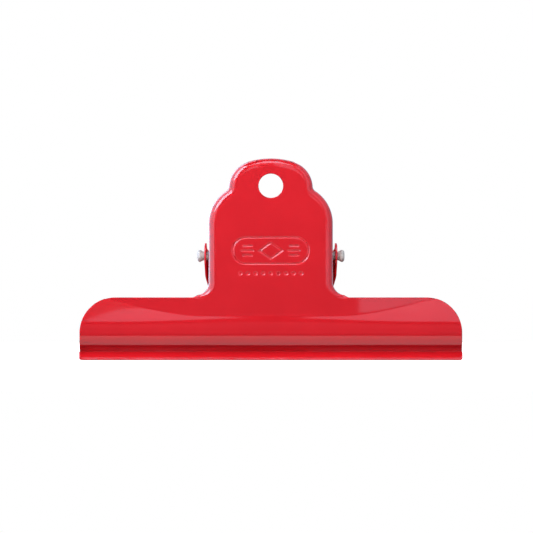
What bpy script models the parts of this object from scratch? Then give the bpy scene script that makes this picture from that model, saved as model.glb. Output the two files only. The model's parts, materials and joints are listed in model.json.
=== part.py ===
"""Wide spring clip: two stamped steel plates hinged on one pin, pressed shut by a double torsion spring.

+Z runs up the handles, +X along the jaws and -Y is the front. Both plates are drawn in plate space, which is
(x along the jaw, out from the middle plane between the plates, z up). Sizes are in millimetres until a mesh
is made from them.
"""
import math

import bmesh
import bpy
import numpy as np
from mathutils import Vector
from mathutils.geometry import delaunay_2d_cdt

MM = 0.001
FRONT, REAR = -1, 1

# Sheet and pin.
SHEET = 0.8
PIN_Z = 41.5
PIN_RADIUS = 1.7
PIN_HOLE_RADIUS = 2.0
PIN_HEAD_RADIUS = 2.4
PIN_HALF_LENGTH = 29.2
PIN_SHANK_X = 26.6
# The pin's end as (radius less the head's, distance less the half length).
PIN_END = ((-0.45, -2.1), (-0.12, -1.5), (0.0, -1.1), (-0.07, -0.75), (-0.35, -0.35), (-1.2, 0.0))

# Side profile of the sheet's middle surface: curled lip, groove where the plates meet, jaw arc, handle.
LIP_BOTTOM_Z = 0.22
LIP_SLOPE = math.radians(33)
LIP_CURL_Z, LIP_CURL_RADIUS = 1.0, 2.2
GROOVE_OUT, GROOVE_Z, GROOVE_RADIUS = 1.0, 3.65, 0.55
GROOVE_TOP = math.radians(75)
JAW_RADIUS = 9.2
HANDLE_LEAN = math.radians(9)
WING_JOIN = math.radians(10)
WING_RADIUS, MIDDLE_RADIUS = 22.7, 31.5
WING_FULL_X = 60.0
CREASE_Z, CREASE_RISE = 18.0, 10.5
CREASE_START_X, CREASE_END_X = 28.0, 92.0

# Front view of the jaw.
JAW_HALF_WIDTH = 75.75
LIP_HALF_WIDTH = 76.0
LIP_CORNER = 1.0
JAW_TOP_Z = 25.05
JAW_CORNER = 14.0

# Front view of the handle: arcs as (centre x, centre z, radius), and the rolled rim.
HANDLE_TOP = (0.0, 47.35, 32.15)
HANDLE_SHOULDER = (6.1, 67.95, 10.5)
NECK_RADIUS = 2.5
HANDLE_SIDE = (9.45, 53.95, 15.1)
HANDLE_HALF_WIDTH = 24.55
FILLET = (29.45, 30.7, 4.9)
FILLET_SWEEP = math.radians(86)
RIM_END_X = 31.0
RIM_RADIUS, RIM_RADIUS_END = 2.9, 1.4
FLANGE, FLANGE_END = 1.0, 0.2
FLANGE_GROWTH = 8
HOLE_Z = 69.2
HOLE_RADIUS = {FRONT: 4.83, REAR: 5.9}

# Ears: a lobe round the pin on a web that grows from the handle's flange. The rear plate's ears step out
# past the front plate's, the front plate's step in.
EAR_LOBE = 5.1
EAR_BOTTOM_Z, EAR_TOP_Z = 31.2, 43.7
EAR_FOOT_IN, EAR_FOOT_Z = 3.0, 29.6
EAR_DIP = 0.9
EAR_HORN = math.radians(92)
EAR_STEP = {FRONT: -0.5, REAR: 1.55}
EAR_STEP_RUN = 7.5
EAR_LEAN = {FRONT: math.radians(-5), REAR: math.radians(3.4)}

# Spring.
WIRE_RADIUS = 0.85
COIL_RADIUS = 3.6
COIL_TURNS = 4
COIL_OUTER_X, COIL_INNER_X = 18.5, 10.2
LEG_ANGLE = math.radians(32.45)
LEG_LENGTH = 17.5
LEG_FOOT = 5.0
LEG_BEND_RADIUS = 4.0

CELL = 5.0
WELD = 0.002
INSIDE_OUTLINE = 1


def clear_scene():
    for obj in list(bpy.data.objects):
        bpy.data.objects.remove(obj, do_unlink=True)


def smoothstep(value):
    t = min(1.0, max(0.0, value))
    return t * t * (3.0 - 2.0 * t)


def arc(centre, radius, start, end, steps):
    """Points on an arc, both ends included; angles in radians from +x towards +z."""
    angles = [start + (end - start) * k / steps for k in range(steps + 1)]
    return [(centre[0] + radius * math.cos(a), centre[1] + radius * math.sin(a)) for a in angles]


# The sheet's middle surface.

def lower_profile(z):
    """Distance out from the middle plane for the lip and the groove."""
    lip_top = GROOVE_Z - GROOVE_RADIUS * math.sin(LIP_SLOPE)
    if z > lip_top:
        return GROOVE_OUT - math.sqrt(GROOVE_RADIUS ** 2 - (z - GROOVE_Z) ** 2)
    lip_start = GROOVE_OUT - GROOVE_RADIUS * math.cos(LIP_SLOPE)
    if z > LIP_CURL_Z:
        return lip_start + (lip_top - z) * math.tan(LIP_SLOPE)
    curl_start = lip_start + (lip_top - LIP_CURL_Z) * math.tan(LIP_SLOPE)
    below = z - LIP_CURL_Z + LIP_CURL_RADIUS * math.sin(LIP_SLOPE)
    return curl_start - LIP_CURL_RADIUS * math.cos(LIP_SLOPE) + math.sqrt(LIP_CURL_RADIUS ** 2 - below ** 2)


def jaw_arc_centre():
    out = GROOVE_OUT - (GROOVE_RADIUS + JAW_RADIUS) * math.cos(GROOVE_TOP)
    return out, GROOVE_Z + (GROOVE_RADIUS + JAW_RADIUS) * math.sin(GROOVE_TOP)


def jaw_arc_point(angle):
    """Out and z on the jaw arc where the sheet's front faces down by this angle."""
    out, z = jaw_arc_centre()
    return out + JAW_RADIUS * math.cos(angle), z - JAW_RADIUS * math.sin(angle)


def curl(x, z):
    """Distance out for the jaw: a tight arc, then a wide one that brings the top edge back in."""
    join_out, join_z = jaw_arc_point(WING_JOIN)
    if z < join_z:
        out, centre_z = jaw_arc_centre()
        return out + math.sqrt(JAW_RADIUS ** 2 - (centre_z - z) ** 2)
    radius = MIDDLE_RADIUS + (WING_RADIUS - MIDDLE_RADIUS) * smoothstep(abs(x) / WING_FULL_X)
    above = z - join_z - radius * math.sin(WING_JOIN)
    return join_out - radius * math.cos(WING_JOIN) + math.sqrt(max(radius ** 2 - above ** 2, 0.0))


def crease_z(x):
    """Height of the soft crease between the jaw's curl and the handle's slope, rising along the wings."""
    return CREASE_Z + CREASE_RISE * smoothstep((abs(x) - CREASE_START_X) / (CREASE_END_X - CREASE_START_X))


def sheet_out(x, z):
    if z < GROOVE_Z + GROOVE_RADIUS * math.sin(GROOVE_TOP):
        return lower_profile(z)
    crease = crease_z(x)
    if z < crease:
        return curl(x, z)
    return curl(x, crease) + (z - crease) * math.tan(HANDLE_LEAN)


def sheet_point(x, z):
    return Vector((x, sheet_out(x, z), z))


def sheet_slopes(x, z):
    step = 0.01
    across = (sheet_out(x + step, z) - sheet_out(x - step, z)) / (2 * step)
    up = (sheet_out(x, z + step) - sheet_out(x, z - step)) / (2 * step)
    return across, up


# The front view's outline.

def between_circles(first, second, radius):
    """Centre of the arc of this radius that fills the notch between two circles, on their +x side."""
    start, step = Vector(first[:2]), Vector(second[:2]) - Vector(first[:2])
    reach_1, reach_2, gap = first[2] + radius, second[2] + radius, step.length
    along = (reach_1 ** 2 - reach_2 ** 2 + gap ** 2) / (2 * gap)
    side = math.sqrt(reach_1 ** 2 - along ** 2)
    direction = step / gap
    return start + along * direction + side * Vector((direction.y, -direction.x))


def rim_stations():
    """Pairs (bend line point, edge point) up the handle's +x half, from the fillet to the top's middle."""
    stations = []

    def add_arc(circle, start, end, steps, inside):
        """One stretch of rim; inside is +1 where the sheet lies inside the arc, -1 in a hollow."""
        for k in range(steps):
            angle = start + (end - start) * k / steps
            direction = Vector((math.cos(angle), math.sin(angle)))
            centre = Vector(circle[:2])
            bend = centre + (circle[2] - inside * RIM_RADIUS) * direction
            stations.append((bend, centre + circle[2] * direction))

    fillet_steps = 10
    for k in range(fillet_steps):
        sweep = FILLET_SWEEP * (1.0 - k / fillet_steps)
        direction = Vector((-math.cos(sweep), -math.sin(sweep)))
        rim = RIM_RADIUS + (RIM_RADIUS_END - RIM_RADIUS) * math.sin(sweep) ** 2
        centre = Vector(FILLET[:2])
        stations.append((centre + (FILLET[2] + rim) * direction, centre + FILLET[2] * direction))
    side_steps = 16
    for k in range(side_steps):
        z = FILLET[1] + (HANDLE_SIDE[1] - FILLET[1]) * k / side_steps
        stations.append((Vector((HANDLE_HALF_WIDTH - RIM_RADIUS, z)), Vector((HANDLE_HALF_WIDTH, z))))
    notch = between_circles(HANDLE_SIDE, HANDLE_SHOULDER, NECK_RADIUS)
    low = notch - Vector(HANDLE_SIDE[:2])
    high = notch - Vector(HANDLE_SHOULDER[:2])
    top = Vector(HANDLE_SHOULDER[:2]) - Vector(HANDLE_TOP[:2])
    low_angle, high_angle = math.atan2(low.y, low.x), math.atan2(high.y, high.x)
    top_angle = math.atan2(top.y, top.x)
    add_arc(HANDLE_SIDE, 0.0, low_angle, 10, 1)
    add_arc((notch.x, notch.y, NECK_RADIUS), low_angle - math.pi, high_angle - math.pi, 5, -1)
    add_arc(HANDLE_SHOULDER, high_angle, top_angle, 10, 1)
    add_arc(HANDLE_TOP, top_angle, math.pi / 2, 5, 1)
    stations.append((Vector((0.0, HANDLE_TOP[1] + HANDLE_TOP[2] - RIM_RADIUS)),
                     Vector((0.0, HANDLE_TOP[1] + HANDLE_TOP[2]))))
    return stations


def mirrored(points):
    return [(-x, z) for x, z in points]


def profile_rows():
    """Heights at which the jaw's mesh has a row, closer together where the sheet bends faster."""
    groove = [math.radians(a) for a in (-33, -8, 17, 42, 66)]
    jaw = [math.radians(a) for a in (72, 63, 54, 45, 36, 27, 18, 9)]
    rows = [LIP_BOTTOM_Z, 0.6, LIP_CURL_Z, 2.2]
    rows += [GROOVE_Z + GROOVE_RADIUS * math.sin(a) for a in groove]
    return rows + [jaw_arc_point(a)[1] for a in jaw]


def jaw_side():
    """The +x end of the jaw and lip, bottom to top, up to the start of the top edge."""
    corner = (LIP_HALF_WIDTH - LIP_CORNER, LIP_BOTTOM_Z + LIP_CORNER)
    points = arc(corner, LIP_CORNER, -math.pi / 2, 0, 3)
    corner_centre = (JAW_HALF_WIDTH - JAW_CORNER, JAW_TOP_Z - JAW_CORNER)
    points += [(LIP_HALF_WIDTH, z) for z in profile_rows() if LIP_BOTTOM_Z + LIP_CORNER < z < GROOVE_Z]
    points += [(JAW_HALF_WIDTH, z) for z in profile_rows() if GROOVE_Z < z < corner_centre[1] - 0.2]
    points += arc(corner_centre, JAW_CORNER, 0, math.pi / 2, 10)
    return points


def flat_outline():
    """The middle surface's outline before its rim, anticlockwise: jaw, lip and the rim's bend line."""
    bottom_steps = 15
    reach = LIP_HALF_WIDTH - LIP_CORNER
    right = [(reach * k / bottom_steps, LIP_BOTTOM_Z) for k in range(bottom_steps)] + jaw_side()
    top_steps = 6
    start, end = JAW_HALF_WIDTH - JAW_CORNER, RIM_END_X
    right += [(start + (end - start) * k / top_steps, JAW_TOP_Z) for k in range(1, top_steps + 1)]
    right += [tuple(bend) for bend, _ in rim_stations()]
    left = mirrored(right[1:-1])
    return right + left[::-1]


def inside(point, loop):
    """Even-odd test of a point against a closed loop."""
    x, z = point
    odd = False
    for (x1, z1), (x2, z2) in zip(loop, loop[1:] + loop[:1]):
        if (z1 > z) != (z2 > z) and x < x1 + (z - z1) * (x2 - x1) / (z2 - z1):
            odd = not odd
    return odd


def gap_to(point, loop):
    """Shortest distance from a point to a closed loop's segments."""
    start = np.array(loop)
    step = np.roll(start, -1, axis=0) - start
    to_point = np.array(point) - start
    share = np.clip((to_point * step).sum(axis=1) / (step * step).sum(axis=1), 0.0, 1.0)
    return np.sqrt(((to_point - share[:, None] * step) ** 2).sum(axis=1)).min()


def triangulate(outline, holes, grid):
    """Points and triangles that fill an outline, with the grid points that are clear of its edges."""
    points, edges = [], []
    for loop in [outline] + holes:
        first, count = len(points), len(loop)
        points += loop
        edges += [(first + k, first + (k + 1) % count) for k in range(count)]
    for point, spacing in grid:
        clear = all(gap_to(point, loop) > 0.45 * spacing for loop in [outline] + holes)
        if clear and inside(point, outline) and not any(inside(point, hole) for hole in holes):
            points.append(point)
    found = delaunay_2d_cdt([Vector(p) for p in points], edges, [], INSIDE_OUTLINE, 0.0001)
    placed, faces = found[0], found[2]
    kept = []
    for face in faces:
        middle = sum((placed[k] for k in face), Vector((0.0, 0.0))) / 3
        if not any(inside(middle, hole) for hole in holes):
            kept.append(face)
    return placed, kept


def sheet_grid():
    """Inner mesh points and their spacing: on the jaw's rows, up to the crease and up the handle."""
    rows = profile_rows()
    last = rows[-1]
    spacings = [max(0.4, b - a) for a, b in zip(rows, rows[1:])] + [2.0]
    count = int(LIP_HALF_WIDTH // CELL)
    columns = [k * CELL for k in range(-count, count + 1)]
    grid = [((x, z), gap) for z, gap in zip(rows, spacings) for x in columns]
    for x in columns:
        rise = crease_z(x) - last
        grid += [((x, last + rise * k / 3), 2.0) for k in (1, 2, 3)]
        grid += [((x, last + rise + CELL * k), CELL * 0.8) for k in range(1, 13)]
    return grid


# Building one plate.

def add_triangles(mesh, points, faces):
    verts = [mesh.verts.new(p) for p in points]
    for face in faces:
        mesh.faces.new([verts[k] for k in face])


def rim_section(bend, edge, flange, steps):
    """Points from the bend line round the roll and down the flange, in plate space."""
    x, z = bend
    across, up = sheet_slopes(x, z)
    normal = Vector((-across, 1.0, -up)).normalized()
    step = edge - bend
    outward = Vector((step.x, across * step.x + up * step.y, step.y))
    radius = outward.length - SHEET / 2
    outward.normalize()
    base = sheet_point(x, z)
    points = []
    for k in range(steps + 1):
        turn = math.pi / 2 * k / steps
        points.append(base + radius * (math.sin(turn) * outward - (1.0 - math.cos(turn)) * normal))
    points.append(points[-1] - flange * normal)
    return points


def add_rim(mesh):
    """The rolled rim down one half; returns its free edge along the straight side, bottom to top."""
    stations = rim_stations()
    roll_steps = 5
    sections = []
    for k, (bend, edge) in enumerate(stations):
        grown = smoothstep((k + 1) / FLANGE_GROWTH)
        sections.append(rim_section(bend, edge, FLANGE_END + (FLANGE - FLANGE_END) * grown, roll_steps))
    tip = sheet_point(RIM_END_X, JAW_TOP_Z)
    for side in (1, -1):
        columns = [[mesh.verts.new((side * p.x, p.y, p.z)) for p in section] for section in sections]
        end = mesh.verts.new((side * tip.x, tip.y, tip.z))
        for low, high in zip(columns[0], columns[0][1:]):
            mesh.faces.new((end, low, high))
        for left, right in zip(columns, columns[1:]):
            for k in range(len(left) - 1):
                mesh.faces.new((left[k], right[k], right[k + 1], left[k + 1]))
    straight = HANDLE_HALF_WIDTH - RIM_RADIUS
    return [s[-1] for s, (bend, _) in zip(sections, stations) if abs(bend.x - straight) < WELD]


def ear_outline(flange_edge):
    """The ear seen along X as (out, z): down the flange's edge, to the foot, round the lobe and back."""
    root = [(p.y, p.z) for p in flange_edge if EAR_BOTTOM_Z < p.z < EAR_TOP_Z]
    low, top = Vector(root[0]), Vector(root[-1])
    foot = Vector((low.x - EAR_FOOT_IN, EAR_FOOT_Z))
    to_pin = Vector((0.0, PIN_Z)) - foot
    tangent = math.atan2(to_pin.y, to_pin.x) + math.asin(EAR_LOBE / to_pin.length)
    lobe = arc((0.0, PIN_Z), EAR_LOBE, tangent + math.pi / 2, EAR_HORN, 14)
    horn = Vector(lobe[-1])
    dip = Vector(((horn.x + top.x) / 2, PIN_Z + EAR_DIP))
    lower = [tuple((low + foot) / 2)]
    lower += [tuple(foot.lerp(Vector(lobe[0]), k / 4)) for k in range(4)]
    upper = []
    for k in range(1, 7):
        t = k / 7
        upper.append(tuple((1 - t) ** 2 * horn + 2 * t * (1 - t) * dip + t * t * top))
    return root[::-1] + lower + lobe + upper


def add_ear(mesh, flange_edge, side):
    outline = ear_outline(flange_edge)
    hole = arc((0.0, PIN_Z), PIN_HOLE_RADIUS, 0, 2 * math.pi, 20)[:-1]
    grid = [((out, z), 1.5) for out in np.arange(-4.0, 9.0, 1.8) for z in np.arange(30.5, 47.0, 1.8)]
    points, faces = triangulate(outline, [hole], grid)
    first, last = flange_edge[0], flange_edge[-1]
    slope = (last.y - first.y) / (last.z - first.z)
    for end in (1, -1):
        places = []
        for out, z in points:
            behind = first.y + (z - first.z) * slope - out
            stepped = EAR_STEP[side] * smoothstep(behind / EAR_STEP_RUN)
            leant = max(behind - EAR_STEP_RUN, 0.0) * math.tan(EAR_LEAN[side])
            places.append((end * (first.x + stepped + leant), out, z))
        add_triangles(mesh, places, faces)


def make_material(name, colour, metallic, roughness):
    material = bpy.data.materials.new(name)
    material.use_nodes = True
    shader = material.node_tree.nodes["Principled BSDF"]
    shader.inputs["Base Color"].default_value = (*colour, 1.0)
    shader.inputs["Metallic"].default_value = metallic
    shader.inputs["Roughness"].default_value = roughness
    return material


def make_object(name, mesh, material, origin=(0.0, 0.0, 0.0)):
    """An object from a bmesh in millimetres, with its origin at a point also in millimetres."""
    for vert in mesh.verts:
        vert.co = (vert.co - Vector(origin)) * MM
    data = bpy.data.meshes.new(name)
    mesh.to_mesh(data)
    mesh.free()
    data.shade_smooth()
    data.set_sharp_from_angle(angle=math.radians(35))
    data.materials.append(material)
    obj = bpy.data.objects.new(name, data)
    obj.location = Vector(origin) * MM
    bpy.context.scene.collection.objects.link(obj)
    return obj


def make_plate(name, side, material):
    mesh = bmesh.new()
    # The hole is round across the leaning sheet, so it is a little shorter in this upright view.
    radius = HOLE_RADIUS[side]
    hole = [(x, HOLE_Z + (z - HOLE_Z) * math.cos(HANDLE_LEAN))
            for x, z in arc((0.0, HOLE_Z), radius, 0, 2 * math.pi, 28)[:-1]]
    points, faces = triangulate(flat_outline(), [hole], sheet_grid())
    add_triangles(mesh, [sheet_point(x, z) for x, z in points], faces)
    flange_edge = add_rim(mesh)
    add_ear(mesh, flange_edge, side)
    bmesh.ops.remove_doubles(mesh, verts=mesh.verts, dist=WELD)
    bmesh.ops.recalc_face_normals(mesh, faces=mesh.faces)
    for vert in mesh.verts:
        vert.co.y *= side
    if side == FRONT:
        bmesh.ops.reverse_faces(mesh, faces=mesh.faces)
    plate = make_object(name, mesh, material, (0.0, 0.0, PIN_Z))
    solid = plate.modifiers.new("thickness", "SOLIDIFY")
    solid.thickness = SHEET * MM
    solid.offset = 0.0
    solid.use_even_offset = True
    return plate


# Pin and spring.

def make_pin(material):
    """A turned pin: plain shank, ends flared outside the ears and rounded over."""
    half = [(PIN_RADIUS, 0.0), (PIN_RADIUS, PIN_SHANK_X)]
    half += [(PIN_HEAD_RADIUS + radius, PIN_HALF_LENGTH + x) for radius, x in PIN_END]
    profile = [(r, -x) for r, x in half[:0:-1]] + half
    sides = 24
    mesh = bmesh.new()
    rings = []
    for radius, x in profile:
        turn = [2 * math.pi * k / sides for k in range(sides)]
        rings.append([mesh.verts.new((x, radius * math.cos(a), radius * math.sin(a))) for a in turn])
    for low, high in zip(rings, rings[1:]):
        for k in range(sides):
            mesh.faces.new((low[k], high[k], high[(k + 1) % sides], low[(k + 1) % sides]))
    mesh.faces.new(rings[0])
    mesh.faces.new(rings[-1][::-1])
    bmesh.ops.recalc_face_normals(mesh, faces=mesh.faces)
    for vert in mesh.verts:
        vert.co.z += PIN_Z
    return make_object("pivot_pin", mesh, material, (0.0, 0.0, PIN_Z))


def spring_path():
    """The wire's centre line for the +x half, from the front leg's tip to the rear leg's middle."""
    turn = Vector((-math.cos(LEG_ANGLE), -math.sin(LEG_ANGLE))) * COIL_RADIUS
    along = Vector((-math.sin(LEG_ANGLE), math.cos(LEG_ANGLE)))
    foot = Vector((-math.sin(HANDLE_LEAN), math.cos(HANDLE_LEAN)))
    knee = turn + along * LEG_LENGTH
    leg = [knee + foot * LEG_FOOT, knee + foot * 1.6, knee + foot * 0.3 - along * 0.3]
    leg += [knee - along * 1.6] + [turn + along * LEG_LENGTH * k / 4 for k in (3, 2, 1)]
    points = [(COIL_OUTER_X, p.x, p.y) for p in leg]
    start = math.pi + LEG_ANGLE
    end = 2 * math.pi * (COIL_TURNS + 1) - LEG_ANGLE
    steps = 16 * COIL_TURNS + 6
    for k in range(steps + 1):
        angle = start + (end - start) * k / steps
        x = COIL_OUTER_X + (COIL_INNER_X - COIL_OUTER_X) * k / steps
        points.append((x, COIL_RADIUS * math.cos(angle), COIL_RADIUS * math.sin(angle)))
    rear = [(COIL_INNER_X, -p.x, p.y) for p in leg[:1:-1]]
    corner = Vector((-knee.x, knee.y)) + Vector((-foot.x, foot.y)) * 0.5
    reach = Vector((-foot.x, foot.y)) * LEG_BEND_RADIUS
    for k in range(5):
        a = math.pi / 2 * k / 4
        x = COIL_INNER_X - LEG_BEND_RADIUS * (1 - math.cos(a))
        rear.append((x, *(corner + reach * math.sin(a))))
    return points + rear


def make_spring(material):
    """One wire, swept as a round tube: a leg, a coil, the middle leg, the other coil, the last leg."""
    half = [Vector(p) for p in spring_path()]
    path = half + [Vector((-p.x, p.y, p.z)) for p in half[::-1]]
    curve = bpy.data.curves.new("torsion_spring", "CURVE")
    curve.dimensions = "3D"
    curve.bevel_depth = WIRE_RADIUS * MM
    curve.bevel_resolution = 2
    curve.use_fill_caps = True
    spline = curve.splines.new("POLY")
    spline.points.add(len(path) - 1)
    for point, place in zip(spline.points, path):
        point.co = (*(place * MM), 1.0)
    curve.materials.append(material)
    obj = bpy.data.objects.new("torsion_spring", curve)
    obj.location = (0.0, 0.0, PIN_Z * MM)
    bpy.context.scene.collection.objects.link(obj)
    return obj


def main():
    clear_scene()
    enamel = make_material("red_enamel", (0.69, 0.018, 0.03), 0.0, 0.18)
    rear_enamel = make_material("red_enamel_rear", (0.69, 0.018, 0.03), 0.0, 0.18)
    plated = make_material("plated_steel", (0.72, 0.72, 0.70), 1.0, 0.25)
    wire = make_material("spring_wire", (0.62, 0.62, 0.62), 1.0, 0.3)
    make_plate("front_plate", FRONT, enamel)
    make_plate("rear_plate", REAR, rear_enamel)
    make_pin(plated)
    make_spring(wire)


main()
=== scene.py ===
"""Looks of the wide spring clip: two enamelled plates, a plated pin and a spring of plated wire.

The plates follow the same rules as their CAD solids. They are drawn in plate space, in millimetres:
x along the jaw, out from the middle plane between the plates, z up. The front plate faces -Y.
"""
import json
import math

import bpy
import numpy as np
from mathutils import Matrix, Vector
from mathutils.geometry import delaunay_2d_cdt


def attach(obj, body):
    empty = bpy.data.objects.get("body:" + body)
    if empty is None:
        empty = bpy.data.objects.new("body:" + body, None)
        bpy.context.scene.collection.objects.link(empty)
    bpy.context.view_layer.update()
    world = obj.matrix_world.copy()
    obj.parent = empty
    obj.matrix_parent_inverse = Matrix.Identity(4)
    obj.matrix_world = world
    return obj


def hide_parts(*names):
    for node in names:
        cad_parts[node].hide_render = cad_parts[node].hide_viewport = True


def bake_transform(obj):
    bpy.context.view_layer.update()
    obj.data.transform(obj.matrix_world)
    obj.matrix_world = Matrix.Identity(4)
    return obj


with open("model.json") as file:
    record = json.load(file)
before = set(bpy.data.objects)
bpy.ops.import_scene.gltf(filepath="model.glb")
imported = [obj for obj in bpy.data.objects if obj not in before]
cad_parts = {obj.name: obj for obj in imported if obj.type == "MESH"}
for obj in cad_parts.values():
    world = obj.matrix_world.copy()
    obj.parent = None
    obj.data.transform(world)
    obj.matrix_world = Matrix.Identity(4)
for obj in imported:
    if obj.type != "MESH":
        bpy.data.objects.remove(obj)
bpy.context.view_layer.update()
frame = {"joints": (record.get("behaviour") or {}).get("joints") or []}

MM = 0.001
FRONT, REAR = -1, 1
HINGE = frame["joints"][0]["pos_m"]
PIN_Z = HINGE[2] / MM

# Sheet, as in the CAD model.
# HANDLE_TOP, HANDLE_SHOULDER, HANDLE_SIDE and FILLET are circles: x, z and radius.
SHEET = 0.8
LIP_BOTTOM_Z = 0.22
LIP_SLOPE = math.radians(33)
LIP_CURL_Z, LIP_CURL_RADIUS = 1.0, 2.2
GROOVE_OUT, GROOVE_Z, GROOVE_RADIUS = 1.0, 3.65, 0.55
GROOVE_TOP = math.radians(75)
JAW_RADIUS = 9.2
HANDLE_LEAN = math.radians(9)
WING_JOIN = math.radians(10)
WING_RADIUS, MIDDLE_RADIUS = 22.7, 31.5
WING_FULL_X = 60.0
CREASE_Z, CREASE_RISE = 18.0, 10.5
CREASE_START_X, CREASE_END_X = 28.0, 92.0
CREASE_ROUND = 0.14
JAW_HALF_WIDTH, LIP_HALF_WIDTH = 75.75, 76.0
LIP_CORNER = 1.0
JAW_TOP_Z = 25.05
JAW_CORNER = 14.0
HANDLE_TOP = (0.0, 47.35, 32.15)
HANDLE_SHOULDER = (6.1, 67.95, 10.5)
NECK_RADIUS = 2.5
HANDLE_SIDE = (9.45, 53.95, 15.1)
HANDLE_HALF_WIDTH = 24.55
FILLET = (29.45, 30.7, 4.9)
FILLET_SWEEP = math.radians(86)
RIM_END_X = 31.0
RIM_RADIUS, RIM_RADIUS_END = 2.9, 1.4
FLANGE, FLANGE_END = 1.0, 0.2
FLANGE_LEAD, FLANGE_FADE = 1.0, 9.0
HOLE_Z = 69.2
HOLE_RADIUS = {FRONT: 4.83, REAR: 5.9}
EAR_LOBE = 5.1
EAR_BOTTOM_Z, EAR_TOP_Z = 31.2, 43.7
EAR_FOOT = (3.0, 29.6)
EAR_DIP = 0.9
EAR_HORN = math.radians(92)
EAR_STEP = {FRONT: -0.5, REAR: 1.55}
EAR_STEP_RUN = 7.5
EAR_LEAN = {FRONT: math.radians(-5), REAR: math.radians(3.4)}
PIN_HOLE_RADIUS = 2.0

# Fineness of the visible meshes.
EDGE_ROUND = 0.24
COLUMN_GRID, COLUMN_REACH = 1.3, 58
JAW_GRID, WING_GRID, HANDLE_GRID = 0.5, 0.6, 0.95
HANDLE_GRID_TOP = 82.0
EMBLEM_GRID, EMBLEM_MARGIN = 0.23, 0.3
EAR_GRID = 0.8
ARC_STEP = 0.5
HOLE_STEP, PIN_HOLE_STEP, LIP_CORNER_STEP = 0.45, 0.4, 0.25
WELD_DIGITS = 3

# Pressed emblem on the front handle: a plain cartouche, a lozenge, short bars and a row of dots below.
EMBLEM_DEPTH = 0.3
EMBLEM_LINE = 0.8
EMBLEM_SOFT = 0.5
CARTOUCHE_Z, CARTOUCHE_HALF_WIDTH, CARTOUCHE_HALF_HEIGHT = 43.6, 15.0, 5.2
LOZENGE_HALF_HEIGHT, LOZENGE_SLOPE, LOZENGE_SCALE = 3.2, 0.72, 0.81
BAR_X, BAR_GAP, BAR_HALF_LENGTH, MIDDLE_BAR_HALF_LENGTH = 9.2, 1.9, 2.0, 2.6
DOT_Z, DOT_RADIUS, DOT_GAP, DOT_REACH = 34.6, 0.8, 3.0, 4
EMBLEM_BOX = (-16.5, 16.5, 31.0, 50.5)


# The sheet's middle surface.

def jaw_arc_centre():
    out = GROOVE_OUT - (GROOVE_RADIUS + JAW_RADIUS) * math.cos(GROOVE_TOP)
    return out, GROOVE_Z + (GROOVE_RADIUS + JAW_RADIUS) * math.sin(GROOVE_TOP)


def jaw_arc_point(angle):
    """Out and z on the jaw arc where the sheet's front faces down by this angle."""
    out, z = jaw_arc_centre()
    return out + JAW_RADIUS * math.cos(angle), z - JAW_RADIUS * math.sin(angle)


def root(value):
    return np.sqrt(np.maximum(value, 0.0))


def smoothstep(value):
    t = np.clip(value, 0.0, 1.0)
    return t * t * (3.0 - 2.0 * t)


def curl_out(x, z):
    """The jaw's section above the groove: a tight arc, then a wide one that curls back in at the top."""
    arc_out, arc_z = jaw_arc_centre()
    join_out, join_z = jaw_arc_point(WING_JOIN)
    radius = MIDDLE_RADIUS + (WING_RADIUS - MIDDLE_RADIUS) * smoothstep(np.abs(x) / WING_FULL_X)
    wide_out = join_out - radius * math.cos(WING_JOIN)
    wide_z = join_z + radius * math.sin(WING_JOIN)
    tight = arc_out + root(JAW_RADIUS ** 2 - (arc_z - z) ** 2)
    return np.where(z < join_z, tight, wide_out + root(radius ** 2 - (z - wide_z) ** 2))


def lean_line(z):
    """The handle's slope, drawn through the jaw where the two are parallel."""
    lean_out, lean_z = jaw_arc_point(HANDLE_LEAN)
    return lean_out + (z - lean_z) * math.tan(HANDLE_LEAN)


def plain_out(x, z):
    """Distance of the middle surface from the plane between the plates, for arrays of x and z."""
    lip_top = GROOVE_Z - GROOVE_RADIUS * math.sin(LIP_SLOPE)
    lip_out = GROOVE_OUT - GROOVE_RADIUS * math.cos(LIP_SLOPE)
    lip = lip_out + (lip_top - z) * math.tan(LIP_SLOPE)
    curl_start = lip_out + (lip_top - LIP_CURL_Z) * math.tan(LIP_SLOPE)
    curl_out_centre = curl_start - LIP_CURL_RADIUS * math.cos(LIP_SLOPE)
    curl_z_centre = LIP_CURL_Z - LIP_CURL_RADIUS * math.sin(LIP_SLOPE)
    curl = curl_out_centre + root(LIP_CURL_RADIUS ** 2 - (z - curl_z_centre) ** 2)
    lip = np.where(z < LIP_CURL_Z, curl, lip)
    groove = GROOVE_OUT - root(GROOVE_RADIUS ** 2 - (z - GROOVE_Z) ** 2)
    jaw = curl_out(x, z)
    crease_z = CREASE_Z + CREASE_RISE * smoothstep(
        (np.abs(x) - CREASE_START_X) / (CREASE_END_X - CREASE_START_X))
    handle = lean_line(z) - lean_line(crease_z) + curl_out(x, crease_z)
    overlap = np.maximum(CREASE_ROUND - np.abs(jaw - handle), 0.0)
    upper = np.maximum(jaw, handle) + overlap ** 2 / (4 * CREASE_ROUND)
    upper = np.where(z < jaw_arc_point(WING_JOIN)[1], jaw, upper)
    groove_top_z = GROOVE_Z + GROOVE_RADIUS * math.sin(GROOVE_TOP)
    return np.where(z < lip_top, lip, np.where(z < groove_top_z, groove, upper))


def rounded_box(x, z, half_width, half_height, corner):
    """Signed distance to a box with round corners centred on the origin."""
    dx = np.abs(x) - half_width + corner
    dz = np.abs(z) - half_height + corner
    outside = np.hypot(np.maximum(dx, 0.0), np.maximum(dz, 0.0))
    return outside + np.minimum(np.maximum(dx, dz), 0.0) - corner


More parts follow.
